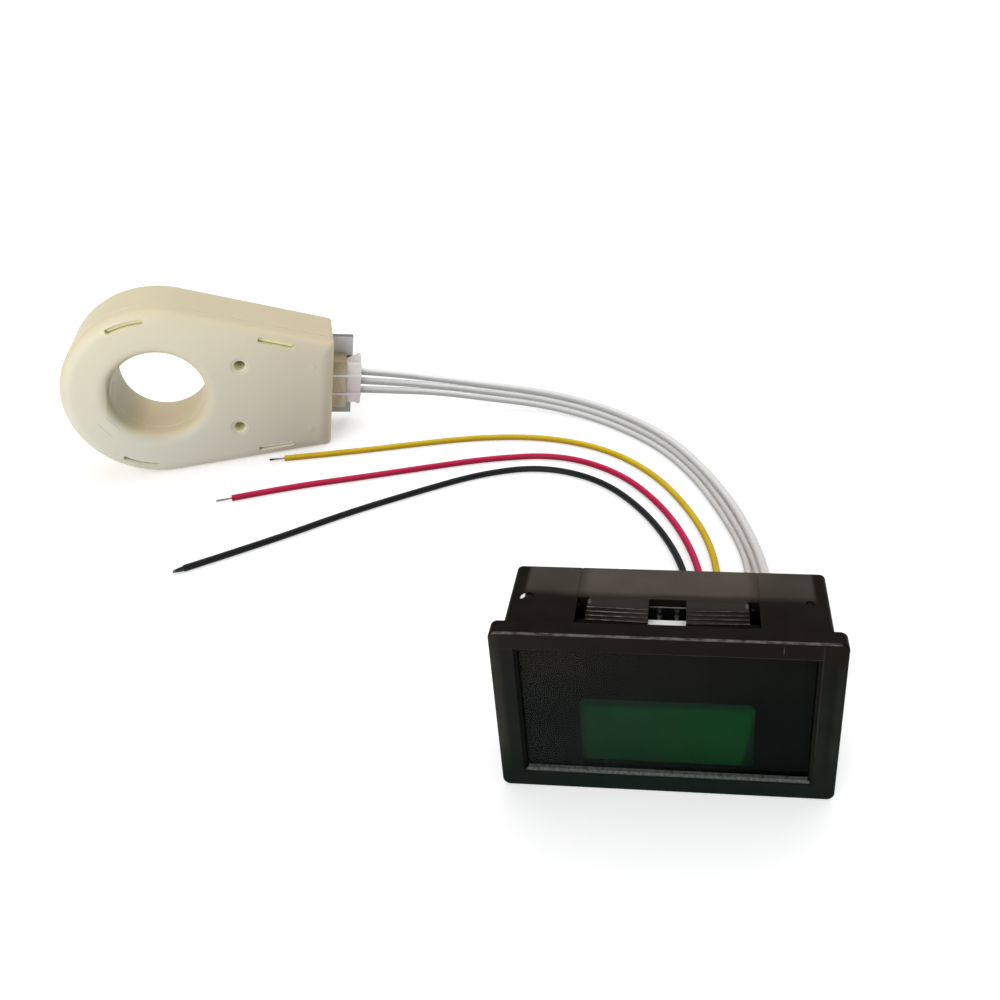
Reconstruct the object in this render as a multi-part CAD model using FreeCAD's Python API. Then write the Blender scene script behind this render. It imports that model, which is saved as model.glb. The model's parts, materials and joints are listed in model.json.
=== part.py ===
"""Battery monitor: a panel meter with a dark display window, and the closed-ring
current sensor that plugs into it through a white three-wire lead.

Millimetres. +X to the right along the bezel, +Y back from the display, +Z up.
The origin is the middle of the bezel's lower face, on which the meter stands.
"""
import FreeCAD, Part
import math
import os
from FreeCAD import Placement, Rotation
from FreeCAD import Vector as V

# Meter case
bezel_width = 48.5
bezel_height = 29.3
bezel_thickness = 2.5
bezel_corner = 1.2
bezel_round = 0.35
bezel_overhang = 1.4
body_corner = 1.0
body_reach = 14.0
wall = 1.3
lip = 1.1
lip_side = 1.15
lip_top = 0.65
opening_corner = 0.5
opening_flare = 0.5
slip = 0.2

# Snap fingers that hold the meter in a panel, two above and two below
slot_inner = 11.4
slot_width = 1.5
window_half = 2.65
finger_start = 2.1
finger_length = 5.1
finger_gap = 0.3
finger_seam_width = 0.2
finger_seam_depth = 0.08
hinge_gap = 0.03
hinge_slant = 8.0
ridge_pitch = 0.87
ridge_share = 0.85
ridge_count = 4
ridge_high = 0.32
ridge_low = 0.06

# Display stack, front to back
lens_thickness = 1.4
mask_thickness = 0.5
glass_thickness = 1.45
backlight_thickness = 3.35
backlight_corner = 0.6
display_side_room = 2.55
display_head_room = 1.55
finger_room = 0.6
lamp_box_width = 12.0
lamp_box_height = 0.7
hood_thickness = 0.5
hood_gap = 0.1
view_width = 25.2
view_height = 12.5
view_corner = 1.2
pin_pitch = 2.54
pin_count = 8
pin_side = 0.5
pin_drop = 0.6

# Main board and what it carries
board_gap = 2.6
board_thickness = 1.6
board_slip = 0.3
rib_width = 2.0
rib_inset = 4.45
chip_x = -9.0
chip_side = 7.0
chip_height = 1.4
chip_bevel = 0.15
regulator_x = 3.0
regulator_rise = 5.0
regulator_length = 6.5
regulator_width = 3.5
regulator_height = 1.6
input_capacitor_x = 11.0
input_capacitor_rise = 5.5
chip_capacitor_x = -16.0
chip_capacitor_rise = 5.0
sense_capacitor_x = -1.5
sense_capacitor_drop = 2.5
capacitor_length = 3.2
capacitor_width = 1.6
capacitor_height = 1.3
solder_reach = 0.6

# Rear cover
cover_thickness = 1.5
cover_slip = 0.1
tongue_width = 2.2
tongue_thickness = 0.85
tongue_overlap = 1.0
pip_inset = 1.55
pip_y = 7.3
pip_radius = 0.5
pip_slip = 0.12
pip_share = 0.8
post_radius = 1.0
post_side_inset = 3.55
post_top_inset = 2.2

# Shrouded connector with two guide ribs, used at both ends of the sensor lead
header_length = 7.0
header_width = 12.2
header_depth = 6.0
header_base = 1.8
header_side = 1.0
header_skin = 0.8
header_corner = 0.3
contact_pitch = 2.5
contact_count = 3
contact_side = 0.64
contact_reach = 6.2
contact_bevel = 0.15
contact_hole_share = 0.8
contact_bend = 1.5
plug_length = 8.5
plug_gap = 0.2
plug_slip = 0.1
rib_offset = 2.45
guide_rib = 0.7
guide_slot = 0.9
guide_proud = 0.1
ear_spread = 1.4
ear_length = 3.3
ear_foot = 0.5
latch_start = 3.0
latch_length = 1.4
latch_width = 1.2
chamber_side = 2.0
chamber_end = 2.0
terminal_side = 1.7
terminal_wall = 0.3
terminal_inset = 0.3
terminal_spare = 0.5
meter_header_inset = 7.55
meter_header_drop = 5.65

# Wires
white_diameter = 1.6
yellow_diameter = 1.2
red_diameter = 1.3
black_diameter = 1.4
bore_slip = 0.15
strand_diameter = 0.7
strand_length = 3.6
lead_drop = 6.65
lead_pitch = 2.5
lead_gap = 2.4
lead_run = 6.25
white_run = 7.5
bend_share = 0.45

# Current sensor: a ring that narrows to the end with the socket
ring_radius = 20.0
bore_radius = 10.0
end_reach = 38.0
end_half = 13.2
lid_depth = 5.2
case_depth = 13.3
sensor_wall = 1.4
face_wall = 1.6
tube_wall = 1.3
face_round = 3.0
mouth_round = 2.5
end_round = 0.8
back_round = 0.8
seam_width = 0.2
seam_depth = 0.12
sensor_x = -116.3
sensor_y = 82.65
sensor_yaw = 21.6

# Hooks of the sensor case in the slots of its lid
upper_hook_inset = 1.6
lower_hook_inset = 2.4
hook_thickness = 0.8
hook_round = 0.25
hook_slip = 0.15
hook_sunk = 1.15
hook_barb = 0.2
barb_start = 1.1
barb_length = 0.7
upper_arc_hook_from = 98.0
lower_arc_hook_from = 91.5
arc_hook_sweep = 24.5
upper_side_hook_from = 18.3
lower_side_hook_from = 18.8
side_hook_length = 7.6

# Inside the sensor
core_inner_gap = 0.3
core_outer_gap = 2.4
core_front = 2.6
core_depth = 10.0
core_gap = 1.9
hall_side_gap = 0.3
hall_thickness = 1.5
hall_height = 3.0
hall_inset = 2.4
hall_bevel = 0.25
leg_side = 0.4
leg_share = 0.3175
sensor_board_thickness = 1.6
sensor_board_stand = 1.9
sensor_board_margin = 2.9
sensor_board_gap = 0.7
sensor_board_overhang = 5.2
socket_overhang = 3.5
amplifier_gap = 10.0
amplifier_length = 4.9
amplifier_width = 3.9
amplifier_height = 1.5
bypass_gap = 10.5
bypass_z = 6.0
filter_gap = 5.0
filter_z = 4.0
small_capacitor_length = 2.0
small_capacitor_width = 1.25
small_capacitor_height = 1.0
trimmer_gap = 1.05
trimmer_inset = 2.5
trimmer_side = 3.4
trimmer_height = 3.2
adjuster_radius = 1.24
adjuster_slip = 0.06
adjuster_sunk = 1.0
adjuster_proud = 0.3
cross_share = 0.75
cross_depth = 0.5
cross_width = 0.5
trimmer_hole = 1.3
guide_wall = 1.0
guide_end = 6.3
dish_radius = 2.1
dish_depth = 0.35
bump_inset = 4.8
bump_side_inset = 5.1
bump_radius = 0.9
bump_proud = 0.12
boss_radius = 1.5
boss_start = 6.5
boss_end_inset = 4.0
boss_side_inset = 2.3
core_rib = 2.0
core_rib_inset = 0.4

# How far cutting tools run past a face, and how far pieces of one moulding
# run into each other
past = 1.0
join = 0.2

# Places worked out from the sizes above
seat_y = bezel_thickness / 2
front_y = -seat_y
rear_y = seat_y + body_reach
mid_z = bezel_height / 2
body_width = bezel_width - 2 * bezel_overhang
body_height = bezel_height - 2 * bezel_overhang
inner_width = body_width - 2 * wall
inner_height = body_height - 2 * wall
top_z = mid_z + body_height / 2
lens_y = front_y + lip
mask_y = lens_y + lens_thickness
glass_y = mask_y + mask_thickness
backlight_y = glass_y + glass_thickness
backlight_back = backlight_y + backlight_thickness
opening_width = inner_width - 2 * lip_side
opening_height = inner_height - 2 * lip_top
display_width = inner_width - 2 * display_side_room
display_height = inner_height - slip - display_head_room
display_low = mid_z - inner_height / 2 + slip
display_top = display_low + display_height
backlight_low = display_low + finger_room
pip_x = inner_width / 2 - pip_inset
meter_header_x = inner_width / 2 - meter_header_inset
meter_header_z = mid_z - meter_header_drop
lead_height = mid_z - lead_drop
yellow_x = meter_header_x - header_width / 2 - lead_gap
red_x = yellow_x - lead_pitch
black_x = red_x - lead_pitch
pin_z = display_top - pin_drop
board_y = backlight_back + board_gap
board_back = board_y + board_thickness
cover_y = rear_y - cover_thickness
tip_y = seat_y + finger_start
root_y = tip_y + finger_length
slot_outer = slot_inner + slot_width
pip_back = seat_y + pip_y
plug_start = header_base + plug_gap
plug_end = plug_start + plug_length
wire_start = plug_end - chamber_end
sensor_depth = lid_depth + case_depth
core_inner = bore_radius + tube_wall + core_inner_gap
core_outer = ring_radius - sensor_wall - core_outer_gap
hall_front = core_front + hall_inset
hall_length = core_outer - core_inner - 2 * hall_side_gap
leg_pitch = hall_length * leg_share
sensor_board_front = sensor_depth - face_wall - sensor_board_stand - sensor_board_thickness
sensor_board_half = end_half - sensor_board_margin
sensor_board_left = bore_radius + tube_wall + sensor_board_gap
sensor_board_end = end_reach + sensor_board_overhang
socket_start = end_reach + socket_overhang - header_length
amplifier_x = socket_start - amplifier_gap
bypass_x = socket_start - bypass_gap
filter_x = socket_start - filter_gap
trimmer_x = core_outer + trimmer_gap
trimmer_z = sensor_board_half - trimmer_inset
bump_x = end_reach - bump_inset
bump_z = end_half - bump_side_inset
socket_mid = sensor_board_front - header_depth / 2
socket_front = sensor_board_front - header_depth - slip
socket_half = header_width / 2 + slip
corner_reach = math.hypot(end_reach, end_half)
taper = math.degrees(math.asin(ring_radius / corner_reach) - math.atan2(end_half, end_reach))


def box(x0, x1, y0, y1, z0, z1):
    return Part.makeBox(x1 - x0, y1 - y0, z1 - z0, V(x0, y0, z0))


def rod(radius, start, direction, length):
    return Part.makeCylinder(radius, length, start, direction)


def edges_along(shape, axis):
    """Straight edges of a shape that run along one axis."""
    found = []
    for edge in shape.Edges:
        if edge.Curve.TypeId != "Part::GeomLine":
            continue
        if abs(edge.tangentAt(edge.FirstParameter).dot(axis)) > 0.999:
            found.append(edge)
    return found


def edges_at(shape, axis, place):
    """Edges that lie whole in the plane square to an axis at one place."""
    found = []
    for edge in shape.Edges:
        box_of_edge = edge.BoundBox
        low = V(box_of_edge.XMin, box_of_edge.YMin, box_of_edge.ZMin).dot(axis)
        high = V(box_of_edge.XMax, box_of_edge.YMax, box_of_edge.ZMax).dot(axis)
        if abs(low - place) < 1e-4 and abs(high - place) < 1e-4:
            found.append(edge)
    return found


def slab(width, height, y0, y1, corner=0.0, z_middle=None):
    """Plate square to Y, centred on the meter, with rounded corners."""
    z_middle = mid_z if z_middle is None else z_middle
    plate = box(-width / 2, width / 2, y0, y1, z_middle - height / 2, z_middle + height / 2)
    if corner > 0:
        plate = plate.makeFillet(corner, edges_along(plate, V(0, 1, 0)))
    return plate


def mirrored(shape, point, normal):
    return shape.mirror(point, normal)


def four_ways(shape):
    """A shape and its mirror images left to right and top to bottom of the meter."""
    pair = [shape, mirrored(shape, V(0, 0, 0), V(1, 0, 0))]
    return pair + [mirrored(s, V(0, 0, mid_z), V(0, 0, 1)) for s in pair]


def cut_all(shape, tools):
    for tool in tools:
        shape = shape.cut(tool)
    return shape


def fuse_all(shapes):
    whole = shapes[0]
    for shape in shapes[1:]:
        whole = whole.fuse(shape)
    return whole.removeSplitter()


def rectangle(width, height, y):
    corners = [V(-width / 2, y, mid_z - height / 2), V(width / 2, y, mid_z - height / 2),
               V(width / 2, y, mid_z + height / 2), V(-width / 2, y, mid_z + height / 2)]
    return Part.makePolygon(corners + corners[:1])


# Meter case

def finger_zone_tools():
    """Cut-outs of the upper right quarter: finger room, mould seam and the hole for the cover's pip."""
    z0 = top_z - wall - past
    z1 = top_z + past
    room = box(0, slot_outer, tip_y - finger_gap, root_y, z0, z1)
    half_seam = finger_seam_width / 2
    seam = box(slot_outer - half_seam, slot_outer + half_seam, root_y, rear_y + past,
               top_z - finger_seam_depth, z1)
    hole = rod(pip_radius + pip_slip, V(pip_x, pip_back, z0), V(0, 0, 1), wall + 2 * past)
    return [room, seam, hole]


def housing():
    bezel = slab(bezel_width, bezel_height, front_y, seat_y, bezel_corner)
    bezel = bezel.makeFillet(bezel_round, edges_at(bezel, V(0, 1, 0), front_y))
    body = slab(body_width, body_height, lens_y, rear_y, body_corner)
    shell = bezel.fuse(body)
    cavity = slab(inner_width, inner_height, lens_y, rear_y + past, body_corner / 2)
    opening = slab(opening_width, opening_height, front_y - past, lens_y + past, opening_corner)
    flare_out = rectangle(opening_width + 4 * opening_flare, opening_height + 4 * opening_flare,
                          front_y - opening_flare)
    flare_in = rectangle(opening_width, opening_height, front_y + opening_flare)
    flare = Part.makeLoft([flare_out, flare_in], True, True)
    shell = cut_all(shell, [cavity, opening, flare])
    for tool in finger_zone_tools():
        shell = cut_all(shell, four_ways(tool))
    rib_z = mid_z + inner_height / 2 - rib_inset
    rib = box(display_width / 2 + slip, inner_width / 2 + wall / 2, glass_y, board_y,
              rib_z - rib_width / 2, rib_z + rib_width / 2)
    return fuse_all([shell] + four_ways(rib))


def finger():
    """Snap finger at the upper right, with ratchet ridges at its free end.

    It bends at the outer edge of its root, so the root's face slants away from the case below.
    """
    root_top = root_y - hinge_gap
    root_low = root_top - wall * math.tan(math.radians(hinge_slant))
    side = [V(window_half, tip_y, top_z - wall), V(window_half, root_low, top_z - wall),
            V(window_half, root_top, top_z), V(window_half, tip_y, top_z)]
    blade = Part.Face(Part.makePolygon(side + side[:1])).extrude(V(slot_inner - window_half, 0, 0))
    pieces = [blade]
    foot = wall / 4
    for step in range(ridge_count):
        y0 = tip_y + step * ridge_pitch
        y1 = y0 + ridge_pitch * ridge_share
        ends = []
        for x, height in ((window_half, ridge_low), (slot_inner, ridge_high)):
            outline = [V(x, y0, top_z - foot), V(x, y0, top_z + height),
                       V(x, y1, top_z), V(x, y1, top_z - foot)]
            ends.append(Part.makePolygon(outline + outline[:1]))
        pieces.append(Part.makeLoft(ends, True, True))
    return fuse_all(pieces)


# Display

def front_lens():
    return slab(inner_width - 2 * slip, inner_height - 2 * slip, lens_y, mask_y, body_corner / 2)


def display_mask():
    plate = slab(inner_width - 3 * slip, inner_height - 3 * slip, mask_y, glass_y, body_corner / 2)
    view = slab(view_width, 2 * view_height, mask_y - past, glass_y + past, view_corner, display_low)
    hood_low = display_top + hood_gap
    hood = box(lamp_box_width / 2 + 2 * slip, display_width / 2, mask_y, backlight_back - slip,
               hood_low, hood_low + hood_thickness)
    return fuse_all([plate.cut(view), hood, mirrored(hood, V(0, 0, 0), V(1, 0, 0))])


def display_block(y0, y1, low, corner=0.0):
    return slab(display_width, display_top - low, y0, y1, corner, (low + display_top) / 2)


def display_glass():
    return display_block(glass_y, backlight_y, display_low)


def display_backlight():
    """Stands clear above the lower snap fingers, which bend inwards below it."""
    lamp_box = box(-lamp_box_width / 2, lamp_box_width / 2, backlight_y, backlight_back,
                   display_top - past, display_top + lamp_box_height)
    return fuse_all([display_block(backlight_y, backlight_back, backlight_low, backlight_corner), lamp_box])


def pin_places():
    return [(i - (pin_count - 1) / 2) * pin_pitch for i in range(pin_count)]


def display_pins():
    half = pin_side / 2
    pins = [box(x - half, x + half, backlight_back, board_back + solder_reach, pin_z - half, pin_z + half)
            for x in pin_places()]
    return Part.Compound(pins)


# Main board

def contact_offsets():
    return [(i - (contact_count - 1) / 2) * contact_pitch for i in range(contact_count)]


def main_board():
    width = inner_width - 2 * board_slip
    height = inner_height - 2 * board_slip
    board = slab(width, height, board_y, board_back, body_corner / 2)
    notch_x = pip_x - tongue_width / 2 - board_slip
    notch_z = mid_z + inner_height / 2 - cover_slip - tongue_thickness - board_slip
    notch = box(notch_x, inner_width, board_y - past, board_back + past, notch_z, mid_z + inner_height)
    board = cut_all(board, four_ways(notch))
    through = board_thickness + 2 * past
    holes = [rod(pin_side, V(x, board_y - past, pin_z), V(0, 1, 0), through) for x in pin_places()]
    holes += [rod(contact_side * contact_hole_share, V(meter_header_x + b, board_y - past, meter_header_z),
                  V(0, 1, 0), through) for b in contact_offsets()]
    return cut_all(board, holes)


def on_board(x, z, length, width, height):
    """Part on the rear face of the main board, centred on x and z."""
    block = box(x - length / 2, x + length / 2, board_back, board_back + height,
                z - width / 2, z + width / 2)
    return block.makeChamfer(height * chip_bevel, edges_at(block, V(0, 1, 0), board_back + height))


def measuring_chip():
    return on_board(chip_x, mid_z, chip_side, chip_side, chip_height)


def regulator():
    return on_board(regulator_x, mid_z + regulator_rise, regulator_length, regulator_width,
                    regulator_height)


def capacitors():
    places = ((chip_capacitor_x, chip_capacitor_rise), (chip_capacitor_x, -chip_capacitor_rise),
              (input_capacitor_x, input_capacitor_rise), (sense_capacitor_x, -sense_capacitor_drop))
    return Part.Compound([on_board(x, mid_z + rise, capacitor_length, capacitor_width, capacitor_height)
                          for x, rise in places])


# Rear cover

def rear_cover():
    width = inner_width - 2 * cover_slip
    height = inner_height - 2 * cover_slip
    plate = slab(width, height, cover_y, rear_y, body_corner / 2)
    top = mid_z + height / 2
    tongue = box(pip_x - tongue_width / 2, pip_x + tongue_width / 2, pip_back - tongue_overlap,
                 cover_y + cover_thickness / 2, top - tongue_thickness, top)
    pip = rod(pip_radius, V(pip_x, pip_back, top - tongue_thickness / 2), V(0, 0, 1),
              tongue_thickness / 2 + cover_slip + wall * pip_share)
    post_foot = V(inner_width / 2 - post_side_inset, board_back, mid_z + inner_height / 2 - post_top_inset)
    post = rod(post_radius, post_foot, V(0, 1, 0), cover_y - board_back + cover_thickness / 3)
    cover = fuse_all([plate] + four_ways(tongue) + four_ways(pip) + four_ways(post))
    half_width = header_width / 2 + slip
    half_depth = header_depth / 2 + slip
    tools = [box(meter_header_x - half_width, meter_header_x + half_width, cover_y - past, rear_y + past,
                 meter_header_z - half_depth, meter_header_z + half_depth)]
    leads = ((black_x, black_diameter), (red_x, red_diameter), (yellow_x, yellow_diameter))
    for x, diameter in leads:
        tools.append(rod(diameter / 2 + bore_slip, V(x, cover_y - past, lead_height), V(0, 1, 0),
                         cover_thickness + 2 * past))
    return cut_all(cover, tools)


# Connector, made with its mating direction along +X, its contacts in a row
# along Z and its guide ribs facing -Y. The header's foot is at the origin.

def header_shell():
    half_width = header_width / 2
    half_depth = header_depth / 2
    shell = box(0, header_length, -half_depth, half_depth, -half_width, half_width)
    shell = shell.makeFillet(header_corner, edges_along(shell, V(1, 0, 0)))
    mouth = header_length + past
    tools = [box(header_base, mouth, header_skin - half_depth, half_depth - header_skin,
                 header_side - half_width, half_width - header_side)]
    for z in (-rib_offset, rib_offset):
        tools.append(box(header_base, mouth, -half_depth - past, 0, z - guide_slot / 2, z + guide_slot / 2))
    side = contact_side / 2
    for z in contact_offsets():
        tools.append(box(-past, header_base + past, -side, side, z - side, z + side))
    return cut_all(shell, tools)


def straight_contacts(behind):
    side = contact_side / 2
    pins = [box(-behind, contact_reach, -side, side, z - side, z + side) for z in contact_offsets()]
    return Part.Compound([p.makeChamfer(contact_bevel, edges_at(p, V(1, 0, 0), contact_reach)) for p in pins])


def bent_contacts(back, down):
    """Contacts that leave the foot of the header and turn down to the board."""
    side = contact_side / 2
    pins = []
    for z in contact_offsets():
        reach = box(-back, contact_reach, -side, side, z - side, z + side)
        leg = box(-back, -back + contact_side, -side, down, z - side, z + side)
        pins.append(fuse_all([reach, leg]))
    return Part.Compound(pins)


def plug_shell():
    half_width = header_width / 2 - header_side - plug_slip
    half_depth = header_depth / 2 - header_skin - plug_slip
    body = box(plug_start, plug_end, -half_depth, half_depth, -half_width, half_width)
    ear_x = plug_end - ear_length
    ear_tip = half_width + ear_spread
    ear = [V(ear_x, 0, half_width - ear_foot), V(ear_x, 0, half_width), V(plug_end - ear_foot, 0, ear_tip),
           V(plug_end, 0, ear_tip), V(plug_end, 0, half_width - ear_foot)]
    ear = Part.Face(Part.makePolygon(ear + ear[:1])).extrude(V(0, half_depth, 0))
    pieces = [body, ear, mirrored(ear, V(0, 0, 0), V(0, 0, 1))]
    for z in (-rib_offset, rib_offset):
        pieces.append(box(plug_start, plug_end, -header_depth / 2 - guide_proud, 0,
                          z - guide_rib / 2, z + guide_rib / 2))
    plug = fuse_all(pieces)
    tools = []
    half = chamber_side / 2
    latch_x = plug_start + latch_start
    for z in contact_offsets():
        tools.append(box(plug_start - past, wire_start, -half, half, z - half, z + half))
        tools.append(rod(white_diameter / 2 + bore_slip, V(wire_start - past, 0, z), V(1, 0, 0),
                         chamber_end + 2 * past))
        tools.append(box(latch_x, latch_x + latch_length, 0, half_depth + past,
                         z - latch_width / 2, z + latch_width / 2))
    return cut_all(plug, tools)


def plug_terminals():
    """Crimped contacts: a square sleeve round the header's contact and a closed crimp behind it."""
    sleeves = []
    half = terminal_side / 2
    hollow = half - terminal_wall
    for z in contact_offsets():
        sleeve = box(plug_start + terminal_inset, wire_start, -half, half, z - half, z + half)
        hole = box(plug_start - past, contact_reach + terminal_spare, -hollow, hollow, z - hollow, z + hollow)
        sleeves.append(sleeve.cut(hole))
    return Part.Compound(sleeves)


meter_socket = Placement(V(meter_header_x, board_back, meter_header_z),
                         Rotation(V(0, 1, 0), V(0, 0, -1), V(-1, 0, 0), "XYZ"))


def placed(shape, placement):
    copy = shape.copy()
    copy.Placement = placement.multiply(copy.Placement)
    return copy


# Sensor, made with its bore along Y, its front face at y = 0 and its socket
# towards +X, then stood on its lower flat side and turned.

stand = Placement(V(sensor_x, sensor_y, ring_radius), Rotation(V(0, 0, 1), sensor_yaw)).multiply(
    Placement(V(0, 0, 0), Rotation(V(0, 1, 0), taper)))
sensor_socket = stand.multiply(Placement(V(socket_start, socket_mid, 0), Rotation()))


def teardrop(inset, y0, y1, corner=0.0):
    """Ring narrowing to a flat end, all its sides moved in by the inset."""
    radius = ring_radius - inset
    end = end_reach - inset
    slope = math.radians(taper)
    touch_x = radius * math.sin(slope)
    touch_z = radius * math.cos(slope)
    end_z = (radius - end * math.sin(slope)) / math.cos(slope)
    top = V(touch_x, y0, touch_z)
    bottom = V(touch_x, y0, -touch_z)
    upper = V(end, y0, end_z)
    lower = V(end, y0, -end_z)
    outline = Part.Wire([
        Part.Arc(bottom, V(-radius, y0, 0), top).toShape(),
        Part.LineSegment(top, upper).toShape(),
        Part.LineSegment(upper, lower).toShape(),
        Part.LineSegment(lower, bottom).toShape()])
    solid = Part.Face(outline).extrude(V(0, y1 - y0, 0))
    if corner > 0:
        long_edges = [e for e in edges_along(solid, V(0, 1, 0)) if e.BoundBox.XMin > end - corner / 2]
        solid = solid.makeFillet(corner, long_edges)
    return solid


def bore(radius, y0, y1):
    return rod(radius, V(0, y0, 0), V(0, 1, 0), y1 - y0)


def mouth_tool(radius, start, middle):
    """What is cut away to round the rim of the bore."""
    disc = Part.makeCylinder(bore_radius + radius, radius, start, V(0, 1, 0))
    return disc.cut(Part.makeTorus(bore_radius + radius, radius, middle, V(0, 1, 0)))


def hook_pair(grow, inset, arc_from, side_from):
    """Hook round the ring and hook along the taper, grown on every side."""
    outer = ring_radius - inset + grow
    inner = outer - hook_thickness - 2 * grow
    spread = math.degrees(grow / outer)
    sweep = arc_hook_sweep + 2 * spread
    arc = Part.makeCylinder(outer, sensor_depth, V(0, 0, 0), V(0, 1, 0), sweep)
    arc = arc.cut(bore(inner, -past, sensor_depth + past)).Solids[0]
    low = arc.CenterOfMass
    turn = math.degrees(math.atan2(low.z, low.x)) - arc_from - arc_hook_sweep / 2
    arc.rotate(V(0, 0, 0), V(0, 1, 0), turn)
    strip = box(side_from - grow, side_from + side_hook_length + grow, 0, sensor_depth,
                -hook_thickness / 2 - grow, hook_thickness / 2 + grow)
    strip.translate(V(0, 0, ring_radius - inset - hook_thickness / 2))
    strip.rotate(V(0, 0, 0), V(0, 1, 0), taper)
    return [piece.makeFillet(hook_round + grow, edges_along(piece, V(0, 1, 0))) for piece in (arc, strip)]


def slots(grow, y0, y1):
    upper = hook_pair(grow, upper_hook_inset, upper_arc_hook_from, upper_side_hook_from)
    lower = hook_pair(grow, lower_hook_inset, lower_arc_hook_from, lower_side_hook_from)
    pieces = upper + [mirrored(piece, V(0, 0, 0), V(0, 0, 1)) for piece in lower]
    reach = 2 * end_reach
    return [piece.common(box(-reach, reach, y0, y1, -reach, reach)) for piece in pieces]


def sensor_lid():
    lid = teardrop(0, 0, lid_depth - seam_width, end_round)
    rim = [e for e in edges_at(lid, V(0, 1, 0), 0) if e.BoundBox.XMin < end_reach - 2 * end_round]
    lid = lid.makeFillet(face_round, rim)
    lid = lid.fuse(teardrop(seam_depth, lid_depth - seam_width - past, lid_depth, end_round))
    hollow = teardrop(sensor_wall, face_wall, lid_depth + past)
    lid = lid.cut(hollow.cut(bore(bore_radius + tube_wall, 0, lid_depth + 2 * past)))
    guides = []
    for z in (-trimmer_z, trimmer_z):
        guides.append(rod(trimmer_hole + guide_wall, V(trimmer_x, face_wall / 2, z), V(0, 1, 0),
                          guide_end - face_wall / 2))
    bumps = [Part.makeCone(bump_radius, bump_radius / 2, bump_proud, V(bump_x, 0, z), V(0, -1, 0))
             for z in (-bump_z, bump_z)]
    tongue = box(end_reach - sensor_wall, end_reach, lid_depth - seam_width - join, socket_front,
                 slip - socket_half, socket_half - slip)
    lid = fuse_all([lid, tongue] + guides + bumps)
    tools = [bore(bore_radius, -past, lid_depth + past),
             bore(bore_radius + seam_depth, lid_depth - seam_width, lid_depth + past),
             mouth_tool(mouth_round, V(0, 0, 0), V(0, mouth_round, 0))]
    for z in (-trimmer_z, trimmer_z):
        tools.append(rod(trimmer_hole, V(trimmer_x, -past, z), V(0, 1, 0), guide_end + 2 * past))
        tools.append(Part.makeCone(dish_radius, trimmer_hole, dish_depth, V(trimmer_x, 0, z), V(0, 1, 0)))
    tools += slots(hook_slip, -past, face_wall + past)
    return cut_all(lid, tools)


def sensor_case():
    shell = teardrop(0, lid_depth + seam_width, sensor_depth, end_round)
    shell = shell.makeFillet(back_round, edges_at(shell, V(0, 1, 0), sensor_depth))
    shell = shell.fuse(teardrop(seam_depth, lid_depth, lid_depth + seam_width + past, end_round))
    back = sensor_depth - face_wall
    hollow = teardrop(sensor_wall, lid_depth - past, back)
    shell = shell.cut(hollow.cut(bore(bore_radius + tube_wall, 0, sensor_depth)))
    board_back_y = sensor_board_front + sensor_board_thickness
    inside = []
    boss_z = sensor_board_half - boss_side_inset
    for x in (sensor_board_left + boss_start, end_reach - boss_end_inset):
        for z in (-boss_z, boss_z):
            inside.append(rod(boss_radius, V(x, board_back_y, z), V(0, 1, 0), back - board_back_y + join))
    for angle in (100, 180, 260):
        rib = box(core_inner + core_rib_inset, core_outer - core_rib_inset,
                  core_front + core_depth, back + join, -core_rib / 2, core_rib / 2)
        rib.rotate(V(0, 0, 0), V(0, 1, 0), -angle)
        inside.append(rib)
    inside += slots(0, hook_sunk, back + join)
    barb_y = face_wall + barb_start
    inside += slots(hook_barb, barb_y, barb_y + barb_length)
    shell = fuse_all([shell] + inside)
    rim_y = sensor_depth - back_round
    tools = [bore(bore_radius, 0, sensor_depth + past),
             bore(bore_radius + seam_depth, 0, lid_depth + seam_width),
             mouth_tool(back_round, V(0, rim_y, 0), V(0, rim_y, 0))]
    board_half = sensor_board_half + slip
    end_x = end_reach - sensor_wall - past
    tools.append(box(end_x, end_reach + past, sensor_board_front - slip, board_back_y + slip,
                     -board_half, board_half))
    tools.append(box(end_x, end_reach + past, lid_depth - past, sensor_board_front,
                     -socket_half, socket_half))
    return cut_all(shell, tools)


def flux_core():
    ring = bore(core_outer, core_front, core_front + core_depth).cut(bore(core_inner, 0, sensor_depth))
    return ring.cut(box(0, core_outer + past, 0, sensor_depth, -core_gap / 2, core_gap / 2))


def hall_element():
    middle = (core_inner + core_outer) / 2
    body = box(middle - hall_length / 2, middle + hall_length / 2, hall_front, hall_front + hall_height,
               -hall_thickness / 2, hall_thickness / 2)
    body = body.makeChamfer(hall_bevel, edges_at(body, V(0, 1, 0), hall_front))
    side = leg_side / 2
    legs = [box(middle + i * leg_pitch - side, middle + i * leg_pitch + side, hall_front + hall_height,
                sensor_board_front, -side, side) for i in (-1, 0, 1)]
    return fuse_all([body] + legs)


def sensor_board():
    board = box(sensor_board_left, sensor_board_end, sensor_board_front,
                sensor_board_front + sensor_board_thickness, -sensor_board_half, sensor_board_half)
    leg_x = socket_start - contact_bend + contact_side / 2
    holes = [rod(contact_side * contact_hole_share, V(leg_x, sensor_board_front - past, z), V(0, 1, 0),
                 sensor_board_thickness + 2 * past) for z in contact_offsets()]
    return cut_all(board, holes)


def on_sensor_board(x, z, length, width, height):
    block = box(x - length / 2, x + length / 2, sensor_board_front - height, sensor_board_front,
                z - width / 2, z + width / 2)
    return block.makeChamfer(height * chip_bevel, edges_at(block, V(0, 1, 0), sensor_board_front - height))


def amplifier_chip():
    return on_sensor_board(amplifier_x, 0, amplifier_length, amplifier_width, amplifier_height)


def sensor_capacitors():
    places = ((bypass_x, bypass_z), (bypass_x, -bypass_z), (filter_x, filter_z), (filter_x, -filter_z))
    return Part.Compound([on_sensor_board(x, z, small_capacitor_length, small_capacitor_width,
                                          small_capacitor_height) for x, z in places])


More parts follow.
